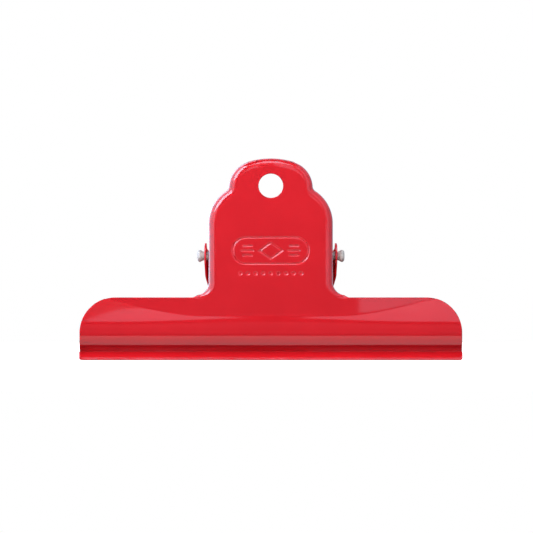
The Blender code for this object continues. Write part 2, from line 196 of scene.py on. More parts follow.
def emblem_depth(x, z):
    """How far the emblem's lines are pressed into the front handle."""
    up = z - CARTOUCHE_Z
    line = EMBLEM_LINE / 2
    cartouche = rounded_box(x, up, CARTOUCHE_HALF_WIDTH, CARTOUCHE_HALF_HEIGHT, CARTOUCHE_HALF_HEIGHT)
    lozenge = (np.abs(x) * LOZENGE_SLOPE + np.abs(up) - LOZENGE_HALF_HEIGHT) * LOZENGE_SCALE
    lines = [np.abs(cartouche) - line, np.abs(lozenge) - line]
    offset = x - DOT_GAP * np.clip(np.round(x / DOT_GAP), -DOT_REACH, DOT_REACH)
    lines.append(np.hypot(offset, z - DOT_Z) - DOT_RADIUS)
    for row in (-1, 0, 1):
        half_length = BAR_HALF_LENGTH if row else MIDDLE_BAR_HALF_LENGTH
        lines.append(rounded_box(np.abs(x) - BAR_X, up - row * BAR_GAP, half_length, line, line))
    return EMBLEM_DEPTH * smoothstep(0.5 - np.minimum.reduce(lines) / EMBLEM_SOFT)


def sheet_out(x, z, marked):
    out = plain_out(x, z)
    if marked:
        low_x, high_x, low_z, high_z = EMBLEM_BOX
        near = (x > low_x) & (x < high_x) & (z > low_z) & (z < high_z)
        out = out - np.where(near, emblem_depth(x, z), 0.0)
    return out


def sheet(points, marked=False):
    """Places, normals and the two slopes of the middle surface at (x, z) points."""
    x, z = np.asarray(points, float).T
    step = 0.004
    across = (sheet_out(x + step, z, marked) - sheet_out(x - step, z, marked)) / (2 * step)
    up = (sheet_out(x, z + step, marked) - sheet_out(x, z - step, marked)) / (2 * step)
    normals = np.stack([-across, np.ones_like(x), -up], axis=1)
    normals /= np.linalg.norm(normals, axis=1)[:, None]
    return np.stack([x, sheet_out(x, z, marked), z], axis=1), normals, across, up


# The front view's outline.

def arc(centre, radius, start, end, step=ARC_STEP):
    """Points on an arc, both ends included, about one step apart."""
    count = max(4, math.ceil(abs(end - start) * radius / step))
    angles = np.linspace(start, end, count + 1)
    return np.stack([centre[0] + radius * np.cos(angles), centre[1] + radius * np.sin(angles)], axis=1)


def notch_centre(first, second, radius):
    """Centre of the arc that fills the notch between two circles, on their +x side."""
    start, step = Vector(first[:2]), Vector(second[:2]) - Vector(first[:2])
    first_reach, second_reach = first[2] + radius, second[2] + radius
    along = (first_reach ** 2 - second_reach ** 2 + step.length_squared) / (2 * step.length)
    side = math.sqrt(first_reach ** 2 - along ** 2)
    direction = step.normalized()
    return start + along * direction + side * Vector((direction.y, -direction.x))


def angle_between(start, end):
    return math.atan2(end[1] - start[1], end[0] - start[0])


def rim_stations():
    """Bend line points and edge points up the handle's +x half, from the fillet to the top's middle."""
    bends, edges = [], []

    def add_arc(centre, radius, start, end, inside):
        """An arc of rim less its last point; inside is 1 where the sheet fills the arc, else -1."""
        edge = arc(centre, radius, start, end)
        spokes = (edge - np.array(centre[:2])) / radius
        bends.append((edge - inside * RIM_RADIUS * spokes)[:-1])
        edges.append(edge[:-1])

    sweep = np.linspace(FILLET_SWEEP, 0.0, 25)[:-1]
    spokes = np.stack([-np.cos(sweep), -np.sin(sweep)], axis=1)
    rim = RIM_RADIUS + (RIM_RADIUS_END - RIM_RADIUS) * np.sin(sweep) ** 2
    bends.append(np.array(FILLET[:2]) + (FILLET[2] + rim)[:, None] * spokes)
    edges.append(np.array(FILLET[:2]) + FILLET[2] * spokes)
    heights = np.linspace(FILLET[1], HANDLE_SIDE[1], 41)[:-1]
    bends.append(np.stack([np.full_like(heights, HANDLE_HALF_WIDTH - RIM_RADIUS), heights], axis=1))
    edges.append(np.stack([np.full_like(heights, HANDLE_HALF_WIDTH), heights], axis=1))
    notch = notch_centre(HANDLE_SIDE, HANDLE_SHOULDER, NECK_RADIUS)
    low, high = angle_between(HANDLE_SIDE, notch), angle_between(HANDLE_SHOULDER, notch)
    top = angle_between(HANDLE_TOP, HANDLE_SHOULDER)
    add_arc(HANDLE_SIDE[:2], HANDLE_SIDE[2], 0.0, low, 1)
    add_arc(tuple(notch), NECK_RADIUS, low - math.pi, high - math.pi, -1)
    add_arc(HANDLE_SHOULDER[:2], HANDLE_SHOULDER[2], high, top, 1)
    add_arc(HANDLE_TOP[:2], HANDLE_TOP[2], top, math.pi / 2, 1)
    crown = HANDLE_TOP[1] + HANDLE_TOP[2]
    bends.append(np.array([[0.0, crown - RIM_RADIUS]]))
    edges.append(np.array([[0.0, crown]]))
    return np.concatenate(bends), np.concatenate(edges)


def profile_rows():
    """Heights of the jaw's mesh rows, close together where the sheet bends fast."""
    groove = np.linspace(-LIP_SLOPE, GROOVE_TOP - math.radians(7), 13)
    jaw = np.linspace(GROOVE_TOP, WING_JOIN, 27)
    lip = np.linspace(LIP_BOTTOM_Z, GROOVE_Z - GROOVE_RADIUS * math.sin(LIP_SLOPE), 14)[:-1]
    join_z = jaw_arc_point(WING_JOIN)[1]
    upper = np.arange(join_z + WING_GRID, JAW_TOP_Z, WING_GRID)
    return np.array([*lip, *(GROOVE_Z + GROOVE_RADIUS * np.sin(groove)),
                     *[jaw_arc_point(a)[1] for a in jaw], *upper])


def flat_outline():
    """The middle surface's outline before its rim, anticlockwise: lip, jaw and the rim's bend line."""
    reach = LIP_HALF_WIDTH - LIP_CORNER
    rows = profile_rows()
    corner = (JAW_HALF_WIDTH - JAW_CORNER, JAW_TOP_Z - JAW_CORNER)
    lip_rows = rows[(rows > LIP_BOTTOM_Z + LIP_CORNER + 0.1) & (rows < GROOVE_Z - 0.3)]
    jaw_rows = rows[(rows > GROOVE_Z + 0.1) & (rows < corner[1] - 0.1)]
    bottom_x = np.linspace(0.0, reach, 76)[:-1]
    top_x = np.linspace(corner[0], RIM_END_X, 32)[1:]
    right = [
        np.stack([bottom_x, np.full_like(bottom_x, LIP_BOTTOM_Z)], axis=1),
        arc((reach, LIP_BOTTOM_Z + LIP_CORNER), LIP_CORNER, -math.pi / 2, 0.0, LIP_CORNER_STEP),
        np.stack([np.full_like(lip_rows, LIP_HALF_WIDTH), lip_rows], axis=1),
        np.stack([np.full_like(jaw_rows, JAW_HALF_WIDTH), jaw_rows], axis=1),
        arc(corner, JAW_CORNER, 0.0, math.pi / 2),
        np.stack([top_x, np.full_like(top_x, JAW_TOP_Z)], axis=1),
        rim_stations()[0],
    ]
    right = np.concatenate(right)
    left = right[1:-1][::-1] * (-1, 1)
    return np.concatenate([right, left])


def inside(points, loop):
    """Even-odd test of many points against one closed loop."""
    x, z = points.T
    odd = np.zeros(len(points), bool)
    for (x1, z1), (x2, z2) in zip(loop, np.roll(loop, -1, axis=0)):
        if z1 != z2:
            odd ^= ((z1 > z) != (z2 > z)) & (x < x1 + (z - z1) * (x2 - x1) / (z2 - z1))
    return odd


def gaps(points, loop):
    """Shortest distance from each of many points to a closed loop."""
    best = np.full(len(points), np.inf)
    for start, end in zip(loop, np.roll(loop, -1, axis=0)):
        step = end - start
        offset = points - start
        share = np.clip(offset @ step / (step @ step), 0.0, 1.0)
        best = np.minimum(best, np.hypot(*(offset - share[:, None] * step).T))
    return best


def triangulate(outline, holes, points, spacing):
    """Triangles filling an outline less its holes, through the points that are clear of its edges."""
    loops = [outline] + holes
    keep = inside(points, outline)
    for hole in holes:
        keep &= ~inside(points, hole)
    points, spacing = points[keep], spacing[keep]
    clearance = np.minimum.reduce([gaps(points, loop) for loop in loops])
    points = points[clearance > 0.5 * spacing]
    edges, first = [], 0
    for loop in loops:
        edges += [(first + k, first + (k + 1) % len(loop)) for k in range(len(loop))]
        first += len(loop)
    every = np.concatenate(loops + [points])
    found = delaunay_2d_cdt([Vector(p) for p in every], edges, [], 1, 0.0001)
    placed = np.array([tuple(p) for p in found[0]])
    faces = np.array(found[2])
    middles = placed[faces].mean(axis=1)
    keep = np.ones(len(faces), bool)
    for hole in holes:
        keep &= ~inside(middles, hole)
    return placed, faces[keep]


def lattice(columns, rows):
    return np.stack(np.meshgrid(columns, rows), axis=-1).reshape(-1, 2)


def grid_points(marked):
    """Inner mesh points and their spacing: jaw rows, handle rows and a fine patch for the emblem."""
    columns = np.arange(-COLUMN_REACH, COLUMN_REACH + 1) * COLUMN_GRID
    rows = profile_rows()
    upper = np.arange(rows[-1] + 0.8, HANDLE_GRID_TOP, HANDLE_GRID)
    parts = [(lattice(columns, rows), JAW_GRID), (lattice(columns, upper), HANDLE_GRID)]
    if marked:
        low_x, high_x, low_z, high_z = EMBLEM_BOX
        points, gap = parts[1]
        x, z = points.T
        beside = (x < low_x - EMBLEM_MARGIN) | (x > high_x + EMBLEM_MARGIN)
        past = (z < low_z - EMBLEM_MARGIN) | (z > high_z + EMBLEM_MARGIN)
        parts[1] = (points[beside | past], gap)
        fine_x = np.arange(low_x, high_x + 0.01, EMBLEM_GRID)
        fine_z = np.arange(low_z, high_z + 0.01, EMBLEM_GRID)
        parts.append((lattice(fine_x, fine_z), EMBLEM_GRID))
    points = np.concatenate([p for p, _ in parts])
    return points, np.concatenate([np.full(len(p), gap) for p, gap in parts])


# One plate: patches of middle surface, welded, then given the sheet's thickness and rounded edges.

def flat_patch(side, marked):
    hole = arc((0.0, HOLE_Z), HOLE_RADIUS[side], 0.0, 2 * math.pi, HOLE_STEP)[:-1]
    hole[:, 1] = HOLE_Z + (hole[:, 1] - HOLE_Z) * math.cos(HANDLE_LEAN)
    points, faces = triangulate(flat_outline(), [hole], *grid_points(marked))
    places, normals, _, _ = sheet(points, marked)
    return places, normals, faces


def rim_patch():
    """The rolled rim on the +x side, and its free edge."""
    bends, edges = rim_stations()
    places, normals, across, up = sheet(bends)
    step = edges - bends
    outward = np.stack([step[:, 0], across * step[:, 0] + up * step[:, 1], step[:, 1]], axis=1)
    length = np.linalg.norm(outward, axis=1)[:, None]
    outward /= length
    radius = length - SHEET / 2
    run = np.concatenate([[0.0], np.cumsum(np.hypot(*np.diff(bends, axis=0).T))])
    grown = smoothstep((run + FLANGE_LEAD) / FLANGE_FADE)[:, None]
    flange = FLANGE_END + (FLANGE - FLANGE_END) * grown
    turns = np.linspace(0.0, math.pi / 2, 19)
    rows = [places + radius * (math.sin(t) * outward - (1 - math.cos(t)) * normals) for t in turns]
    row_normals = [math.cos(t) * normals + math.sin(t) * outward for t in turns]
    rolled = rows[-1]
    for share in (0.33, 0.67, 1.0):
        rows.append(rolled - share * flange * normals)
        row_normals.append(outward)
    count, depth = len(bends), len(rows)
    points = np.stack(rows, axis=1).reshape(-1, 3)
    point_normals = np.stack(row_normals, axis=1).reshape(-1, 3)
    tip, tip_normal, _, _ = sheet([(RIM_END_X, JAW_TOP_Z)])
    points = np.concatenate([points, tip])
    point_normals = np.concatenate([point_normals, tip_normal])
    faces = [(len(points) - 1, k, k + 1) for k in range(depth - 1)]
    for a in range(count - 1):
        for k in range(depth - 1):
            corner = a * depth + k
            faces.append((corner, corner + depth, corner + depth + 1))
            faces.append((corner, corner + depth + 1, corner + 1))
    straight = np.abs(bends[:, 0] - (HANDLE_HALF_WIDTH - RIM_RADIUS)) < 0.001
    return points, point_normals, np.array(faces), rows[-1][straight]


def ear_shift(behind, side):
    """How far the ear stands out past the flange, at a distance behind the flange's edge."""
    leant = np.maximum(behind - EAR_STEP_RUN, 0.0) * math.tan(EAR_LEAN[side])
    return EAR_STEP[side] * smoothstep(behind / EAR_STEP_RUN) + leant


def ear_patch(free_edge, side):
    """The ear on the +x side: a lobe round the pin on a web that grows from the flange's free edge."""
    root_edge = free_edge[(free_edge[:, 2] > EAR_BOTTOM_Z) & (free_edge[:, 2] < EAR_TOP_Z)]
    base = root_edge[:, 1:]
    pin = np.array([0.0, PIN_Z])
    foot = np.array([base[0][0] - EAR_FOOT[0], EAR_FOOT[1]])
    to_pin = pin - foot
    reach = math.hypot(*to_pin)
    start = math.atan2(to_pin[1], to_pin[0]) + math.asin(EAR_LOBE / reach) + math.pi / 2
    lobe = arc(pin, EAR_LOBE, start, EAR_HORN)
    lower_count = max(3, int(math.sqrt(reach ** 2 - EAR_LOBE ** 2) / ARC_STEP))
    shares = np.linspace(0.0, 1.0, lower_count + 1)[:-1, None]
    lower = np.concatenate([[(base[0] + foot) / 2], foot + shares * (lobe[0] - foot)])
    dip = np.array([(lobe[-1][0] + base[-1][0]) / 2, PIN_Z + EAR_DIP])
    t = np.linspace(0.0, 1.0, 15)[1:-1, None]
    upper = (1 - t) ** 2 * lobe[-1] + 2 * t * (1 - t) * dip + t ** 2 * base[-1]
    outline = np.concatenate([base[::-1], lower, lobe, upper])
    hole = arc(pin, PIN_HOLE_RADIUS, 0.0, 2 * math.pi, PIN_HOLE_STEP)[:-1]
    grid = lattice(np.arange(-5.0, 10.0, EAR_GRID), np.arange(29.4, 48.0, EAR_GRID))
    points, faces = triangulate(outline, [hole], grid, np.full(len(grid), EAR_GRID))
    slope = (base[-1][0] - base[0][0]) / (base[-1][1] - base[0][1])
    behind = base[0][0] + (points[:, 1] - base[0][1]) * slope - points[:, 0]
    x = root_edge[0][0] + ear_shift(behind, side)
    tilt = (ear_shift(behind + 0.01, side) - ear_shift(behind - 0.01, side)) / 0.02
    normals = np.stack([np.ones_like(tilt), tilt, -slope * tilt], axis=1)
    normals /= np.linalg.norm(normals, axis=1)[:, None]
    return np.stack([x, points[:, 0], points[:, 1]], axis=1), normals, faces


def mirror_patch(patch):
    places, normals, faces = patch
    return places * (-1, 1, 1), normals * (-1, 1, 1), faces[:, ::-1]


def facing(patch):
    """The patch with each triangle wound so that it faces along its normals."""
    places, normals, faces = patch
    a, b, c = places[faces[:, 0]], places[faces[:, 1]], places[faces[:, 2]]
    turned = (np.cross(b - a, c - a) * normals[faces].sum(axis=1)).sum(axis=1) < 0
    faces = faces.copy()
    faces[turned] = faces[turned][:, ::-1]
    return places, normals, faces


def weld(patches):
    """One mesh from patches that share edge points; normals are averaged where they meet."""
    index, places, normals, faces = {}, [], [], []
    for patch_places, patch_normals, patch_faces in patches:
        keys = [tuple(p) for p in np.round(patch_places, WELD_DIGITS) + 0.0]
        here = []
        for key, place, normal in zip(keys, patch_places, patch_normals):
            if key not in index:
                index[key] = len(places)
                places.append(place)
                normals.append(np.zeros(3))
            normals[index[key]] = normals[index[key]] + normal
            here.append(index[key])
        here = np.array(here)
        faces.append(here[patch_faces])
    normals = np.array(normals)
    normals /= np.linalg.norm(normals, axis=1)[:, None]
    faces = np.concatenate(faces)
    distinct = (faces[:, 0] != faces[:, 1]) & (faces[:, 1] != faces[:, 2]) & (faces[:, 2] != faces[:, 0])
    return np.array(places), normals, faces[distinct]


def boundary_loops(faces):
    """Closed loops of vertex numbers round a mesh's free edges, each with the mesh on its left."""
    halves = {}
    for a, b, c in faces.tolist():
        for edge in ((a, b), (b, c), (c, a)):
            halves[edge] = True
    follow = {a: b for a, b in halves if (b, a) not in halves}
    loops = []
    while follow:
        start = next(iter(follow))
        loop, at = [start], follow.pop(start)
        while at != start:
            loop.append(at)
            at = follow.pop(at)
        loops.append(np.array(loop))
    return loops


def band(ring, next_ring):
    """The four-sided faces between two closed rings of vertex numbers."""
    return np.stack([ring, next_ring, np.roll(next_ring, -1), np.roll(ring, -1)], axis=1)


def thicken(places, normals, faces):
    """A closed sheet of the full thickness round a middle surface, with its cut edges rounded."""
    half = SHEET / 2
    count = len(places)
    front, back = places + half * normals, places - half * normals
    loops = boundary_loops(faces)
    rings, ring_normals, quads = [], [], []
    total = 2 * count
    for loop in loops:
        along = places[np.roll(loop, -1)] - places[np.roll(loop, 1)]
        outward = np.cross(along, normals[loop])
        outward /= np.linalg.norm(outward, axis=1)[:, None]
        normal = normals[loop]
        front[loop] -= EDGE_ROUND * outward
        back[loop] -= EDGE_ROUND * outward
        previous = loop
        centre = places[loop] - EDGE_ROUND * outward
        flat = half - EDGE_ROUND
        turns = np.radians([22.5, 45.0, 67.5, 90.0])
        profile = [(flat, math.cos(t), math.sin(t)) for t in turns]
        profile += [(-flat, -math.sin(t), math.cos(t)) for t in [0.0, *turns[:-1]]]
        for level, up, side in profile:
            direction = up * normal + side * outward
            rings.append(centre + level * normal + EDGE_ROUND * direction)
            ring_normals.append(direction)
            current = total + np.arange(len(loop))
            quads.append(band(previous, current))
            previous = current
            total += len(loop)
        quads.append(band(previous, loop + count))
    points = np.concatenate([front, back] + rings)
    point_normals = np.concatenate([normals, -normals] + ring_normals)
    triangles = np.concatenate([faces, faces[:, ::-1] + count])
    return points, point_normals, triangles, np.concatenate(quads)


def to_world(places, normals, side):
    """Plate space to metres in the frame: out is -Y on the front plate and +Y on the rear one."""
    turn = np.array([1.0, side, 1.0])
    return places * turn * MM, normals * turn


def mesh_object(name, points, faces, normals, material):
    mesh = bpy.data.meshes.new(name)
    mesh.from_pydata([tuple(p) for p in points], [], faces)
    mesh.shade_smooth()
    mesh.normals_split_custom_set_from_vertices([tuple(n) for n in normals])
    mesh.materials.append(material)
    obj = bpy.data.objects.new(name, mesh)
    bpy.context.scene.collection.objects.link(obj)
    return obj


def make_plate(name, side, material):
    marked = side == FRONT
    flat = facing(flat_patch(side, marked))
    rim_points, rim_normals, rim_faces, free_edge = rim_patch()
    rim = facing((rim_points, rim_normals, rim_faces))
    ear = facing(ear_patch(free_edge, side))
    patches = [flat, rim, mirror_patch(rim), ear, mirror_patch(ear)]
    points, normals, triangles, quads = thicken(*weld(patches))
    points, normals = to_world(points, normals, side)
    if side == FRONT:
        triangles, quads = triangles[:, ::-1], quads[:, ::-1]
    return mesh_object(name, points, triangles.tolist() + quads.tolist(), normals, material)


# Pin and spring.

# Half of the pin from its middle outwards, as radius and x: the shank, the flare and the rounded head.
PIN_PROFILE = (
    (1.7, 0.0), (1.7, 24.0), (1.7, 26.6), (1.82, 26.85), (1.95, 27.1), (2.12, 27.4), (2.28, 27.7),
    (2.37, 27.92), (2.4, 28.1), (2.385, 28.3), (2.33, 28.5), (2.22, 28.7), (2.05, 28.87), (1.8, 29.02),
    (1.5, 29.12), (1.2, 29.18), (0.8, 29.2), (0.4, 29.2))
PIN_SIDES = 40
WIRE_RADIUS, COIL_RADIUS, COIL_TURNS = 0.85, 3.6, 4
WIRE_SIDES, COIL_STEPS = 14, 40
WIRE_END_ROUND = 0.2
COIL_OUTER_X, COIL_INNER_X = 18.5, 10.2
LEG_ANGLE = math.radians(32.45)
LEG_LENGTH, LEG_FOOT, LEG_BEND_RADIUS = 17.5, 5.0, 4.0
KNEE_ROUND = 2.2
SHARP_ANGLE = math.radians(35)


def ring_faces(count, sides):
    """The faces between rings of points along a tube, and its two end caps."""
    faces = []
    for a in range(count - 1):
        for k in range(sides):
            b = (k + 1) % sides
            faces.append((a * sides + k, a * sides + b, (a + 1) * sides + b, (a + 1) * sides + k))
    faces.append(tuple(range(sides))[::-1])
    faces.append(tuple((count - 1) * sides + k for k in range(sides)))
    return faces


def tube(path, radii, sides):
    """Rings of points round a path with a radius at each point, and the faces between them."""
    path = np.asarray(path, float)
    tangents = np.gradient(path, axis=0)
    tangents /= np.linalg.norm(tangents, axis=1)[:, None]
    across = np.cross(tangents[0], (0.0, 0.3, 1.0))
    across /= np.linalg.norm(across)
    points = []
    for place, tangent, radius in zip(path, tangents, radii):
        across = across - tangent * (across @ tangent)
        across /= np.linalg.norm(across)
        other = np.cross(tangent, across)
        for k in range(sides):
            turn = 2 * math.pi * k / sides
            points.append(place + radius * (math.cos(turn) * across + math.sin(turn) * other))
    return np.array(points), ring_faces(len(path), sides)


def shaded_object(name, points, faces, material):
    """A mesh object in metres from points in millimetres, smooth but for its sharp edges."""
    mesh = bpy.data.meshes.new(name)
    mesh.from_pydata([tuple(p * MM) for p in points], [], faces)
    mesh.shade_smooth()
    mesh.set_sharp_from_angle(angle=SHARP_ANGLE)
    mesh.materials.append(material)
    obj = bpy.data.objects.new(name, mesh)
    bpy.context.scene.collection.objects.link(obj)
    return obj


def make_pin(material):
    """A turned pin whose ends are flared outside the ears and rounded over."""
    profile = [(radius, -x) for radius, x in PIN_PROFILE[:0:-1]] + list(PIN_PROFILE)
    points = []
    for radius, x in profile:
        for k in range(PIN_SIDES):
            turn = 2 * math.pi * k / PIN_SIDES
            points.append((x, radius * math.cos(turn), PIN_Z + radius * math.sin(turn)))
    # Corners in this order turn the faces inwards; ring_faces would turn them outwards.
    faces = []
    for a in range(len(profile) - 1):
        ring, following = a * PIN_SIDES, (a + 1) * PIN_SIDES
        for k in range(PIN_SIDES):
            b = (k + 1) % PIN_SIDES
            faces.append((ring + k, following + k, following + b, ring + b))
    faces.append(tuple(range(PIN_SIDES)))
    faces.append(tuple((len(profile) - 1) * PIN_SIDES + k for k in range(PIN_SIDES))[::-1])
    return shaded_object("pivot_pin_plated", np.array(points), faces, material)


def rounded(points, rounds):
    """A polyline with its corners cut smooth; its ends stay."""
    points = np.asarray(points, float)
    for _ in range(rounds):
        low = 0.75 * points[:-1] + 0.25 * points[1:]
        high = 0.25 * points[:-1] + 0.75 * points[1:]
        cuts = np.stack([low, high], axis=1).reshape(-1, points.shape[1])
        points = np.concatenate([points[:1], cuts, points[-1:]])
    return points


def spring_path():
    """The wire's centre line: front leg, coil, middle leg on the rear plate, coil, front leg."""
    touch = np.array([-math.cos(LEG_ANGLE), -math.sin(LEG_ANGLE)]) * COIL_RADIUS
    along = np.array([-math.sin(LEG_ANGLE), math.cos(LEG_ANGLE)])
    foot = np.array([-math.sin(HANDLE_LEAN), math.cos(HANDLE_LEAN)])
    knee = touch + along * LEG_LENGTH
    leg = rounded([knee + foot * LEG_FOOT, knee + foot * KNEE_ROUND, knee, knee - along * KNEE_ROUND,
                   touch + along * 0.5], 3)
    front = np.column_stack([np.full(len(leg), COIL_OUTER_X), leg])
    start, end = math.pi + LEG_ANGLE, 2 * math.pi * (COIL_TURNS + 1) - LEG_ANGLE
    angles = np.linspace(start, end, COIL_STEPS * COIL_TURNS)
    x = np.linspace(COIL_OUTER_X, COIL_INNER_X, len(angles))
    coil = np.stack([x, COIL_RADIUS * np.cos(angles), COIL_RADIUS * np.sin(angles)], axis=1)
    back = (-1, 1)
    back_touch, back_along, back_knee, back_foot = touch * back, along * back, knee * back, foot * back
    top = back_knee + back_foot * (0.5 + LEG_BEND_RADIUS)
    leg = [back_touch + back_along * 0.5, back_knee - back_along * KNEE_ROUND, back_knee,
           back_knee + back_foot * 1.6, top]
    rear = [(COIL_INNER_X, *place) for place in leg]
    rear += [(COIL_INNER_X - LEG_BEND_RADIUS, *top), (0.0, *top)]
    half = np.concatenate([front, coil, rounded(rear, 4)])
    path = np.concatenate([half, half[::-1][1:] * (-1, 1, 1)])
    steps = np.linalg.norm(np.diff(path, axis=0), axis=1)
    keep = np.concatenate([[True], steps > 0.02])
    return path[keep] + (0.0, 0.0, PIN_Z)


def make_spring(material):
    path = spring_path()
    run = np.concatenate([[0.0], np.cumsum(np.linalg.norm(np.diff(path, axis=0), axis=1))])
    end = np.minimum(run, run[-1] - run)
    radii = WIRE_RADIUS - WIRE_END_ROUND * np.clip(1.0 - end / 0.3, 0.0, 1.0)
    points, faces = tube(path, radii, WIRE_SIDES)
    return shaded_object("torsion_spring_wire", points, faces, material)


# Materials.

def shader_material(name):
    material = bpy.data.materials.new(name)
    material.use_nodes = True
    tree = material.node_tree
    return material, tree, tree.nodes["Principled BSDF"]


def add_noise(tree, scale, detail):
    """Noise in object space, which is the frame, in metres."""
    place = tree.nodes.new("ShaderNodeTexCoord")
    noise = tree.nodes.new("ShaderNodeTexNoise")
    noise.inputs["Scale"].default_value = scale
    noise.inputs["Detail"].default_value = detail
    tree.links.new(place.outputs["Object"], noise.inputs["Vector"])
    return noise.outputs["Fac"]


def add_ramp(tree, factor, low, high):
    ramp = tree.nodes.new("ShaderNodeValToRGB")
    for element, position, colour in zip(ramp.color_ramp.elements, (0.35, 0.65), (low, high)):
        element.position = position
        element.color = (*colour, 1.0)
    tree.links.new(factor, ramp.inputs["Fac"])
    return ramp.outputs["Color"]


def add_range(tree, factor, low, high):
    spread = tree.nodes.new("ShaderNodeMapRange")
    spread.inputs["To Min"].default_value = low
    spread.inputs["To Max"].default_value = high
    tree.links.new(factor, spread.inputs["Value"])
    return spread.outputs["Result"]


def add_bump(tree, height, distance, strength):
    bump = tree.nodes.new("ShaderNodeBump")
    bump.inputs["Distance"].default_value = distance
    bump.inputs["Strength"].default_value = strength
    tree.links.new(height, bump.inputs["Height"])
    return bump.outputs["Normal"]


def enamel_material():
    """Gloss red enamel: a slightly uneven red film with faint orange peel."""
    material, tree, shader = shader_material("red_enamel")
    red = add_ramp(tree, add_noise(tree, 55.0, 3.0), (0.70, 0.0105, 0.0185), (0.74, 0.0118, 0.0205))
    tree.links.new(red, shader.inputs["Base Color"])
    tree.links.new(add_range(tree, add_noise(tree, 240.0, 4.0), 0.05, 0.08), shader.inputs["Roughness"])
    peel = add_bump(tree, add_noise(tree, 300.0, 2.0), 0.00002, 0.03)
    tree.links.new(peel, shader.inputs["Normal"])
    shader.inputs["IOR"].default_value = 1.5
    return material


def metal_material(name, low, high, roughness_low, roughness_high, metallic):
    """Plated steel with faint wiped streaks and small pits."""
    material, tree, shader = shader_material(name)
    shader.inputs["Metallic"].default_value = metallic
    tree.links.new(add_ramp(tree, add_noise(tree, 500.0, 4.0), low, high), shader.inputs["Base Color"])
    streaks = add_range(tree, add_noise(tree, 900.0, 5.0), roughness_low, roughness_high)
    tree.links.new(streaks, shader.inputs["Roughness"])
    tree.links.new(add_bump(tree, add_noise(tree, 1400.0, 4.0), 0.00002, 0.15), shader.inputs["Normal"])
    return material


# Studio.

CAMERA_DISTANCE = 5.0
CAMERA_X, CAMERA_Z = -0.0017, 0.0373
VIEW_WIDTH = 0.2112
SENSOR = 36.0
STUDIO_Z = 0.016
FLOOR_RADIUS, FLOOR_Z = 1.2, -0.0001
NEAR, FAR = 0.35, 1.2
PANEL_STEPS = 10
COOL = (0.90, 1.0, 1.26)
WARM = (1.0, 1.0, 1.05)
FILL_LEVEL = 0.16
BEHIND_LEVEL = 0.2

# Lamps: name, azimuth, elevation, distance, size and power.
LIGHTS = (
    ("key_light", -8, 33, 0.5, 0.3, 2.2),
    ("front_light", -20, -5, FAR, 1.0, 1.4),
    ("table_light", 0, -30, FAR, 1.0, 2.2),
    ("back_light", 165, 40, FAR, 0.8, 8.0))

# Panels seen as reflections: name, azimuths, elevations, distance, colour and level.
STRIPS = (
    ("horizon_flag", (-30, 5), (-5.2, 0), FAR, COOL, 0.09),
    ("low_glow", (-30, 27), (-14, -6.2), FAR, COOL, 0.28),
    ("table_flag", (-60, 60), (-38.2, -32.5), FAR, COOL, 0.07),
    ("table", (-80, 80), (-91.2, -38.8), FAR, WARM, 1.26),
    ("table_edge", (-80, 80), (-150, -92.2), FAR, WARM, 0.0),
    ("right_panel", (2.4, 22), (0.2, 55), NEAR, COOL, 1.37),
    ("right_low", (5.8, 27), (-26, -15), FAR, COOL, 1.35),
    ("right_side", (28, 62), (-26, -1), FAR, COOL, 1.35),
    ("right_dim", (3.5, 44), (0.3, 40), FAR, COOL, 0.5),
    ("right_line", (45, 60), (0.3, 60), FAR, COOL, 2.2),
    ("right_back", (66, 140), (-30, 60), FAR, COOL, 0.85),
    ("left_side", (-71, -31), (-30, 8), FAR, COOL, 2.6),
    ("left_back", (-129, -71), (-30, 60), FAR, COOL, 3.0),
    ("left_rim", (-164, -130), (-30, 60), FAR, COOL, 4.0),
    ("left_softbox", (-70, -38), (9, 60), FAR, COOL, 13.0),
    ("back_panel", (141, 195), (-10, 60), FAR, COOL, 0.9),
    ("top_softbox", (-30, 30), (50, 80), FAR, COOL, 5.2))

# The left panel narrows upwards: its edges' (azimuth, elevation) points.
LEFT_PANEL_LEFT = ((-13.0, 0.2), (-12.6, 7.0), (-12.1, 15.0), (-11.2, 29.0), (-10.5, 35.5))
LEFT_PANEL_RIGHT = ((-1.6, 0.2), (-3.0, 7.0), (-5.0, 15.0), (-7.0, 29.0), (-8.5, 35.5))
LEFT_PANEL_LEVEL = 1.4


def towards(azimuth, elevation, distance, target):
    """A point seen from the target at this azimuth (0 is the front, 90 is +X) and elevation."""
    a, e = math.radians(azimuth), math.radians(elevation)
    across = math.cos(e)
    return target + distance * Vector((math.sin(a) * across, -math.cos(a) * across, math.sin(e)))


def hide_from(obj, rays):
    for ray in rays:
        setattr(obj, f"visible_{ray}", False)


def add_light(name, azimuth, elevation, distance, size, power, target):
    light = bpy.data.lights.new(name, "AREA")
    light.shape = "SQUARE"
    light.size = size
    light.energy = power
    obj = bpy.data.objects.new(name, light)
    bpy.context.scene.collection.objects.link(obj)
    place = towards(azimuth, elevation, distance, target)
    obj.location = place
    obj.rotation_euler = (target - place).to_track_quat("-Z", "Y").to_euler()
    hide_from(obj, ("camera", "glossy"))


def add_flag(name, half_width, heights, y):
    """An unseen upright slat that only casts a soft shadow."""
    corners = [(-half_width, y, heights[0]), (half_width, y, heights[0]),
               (half_width, y, heights[1]), (-half_width, y, heights[1])]
    mesh = bpy.data.meshes.new(name)
    mesh.from_pydata(corners, [], [(0, 1, 2, 3)])
    flag = bpy.data.objects.new(name, mesh)
    bpy.context.scene.collection.objects.link(flag)
    hide_from(flag, ("camera", "diffuse", "glossy", "transmission", "volume_scatter"))


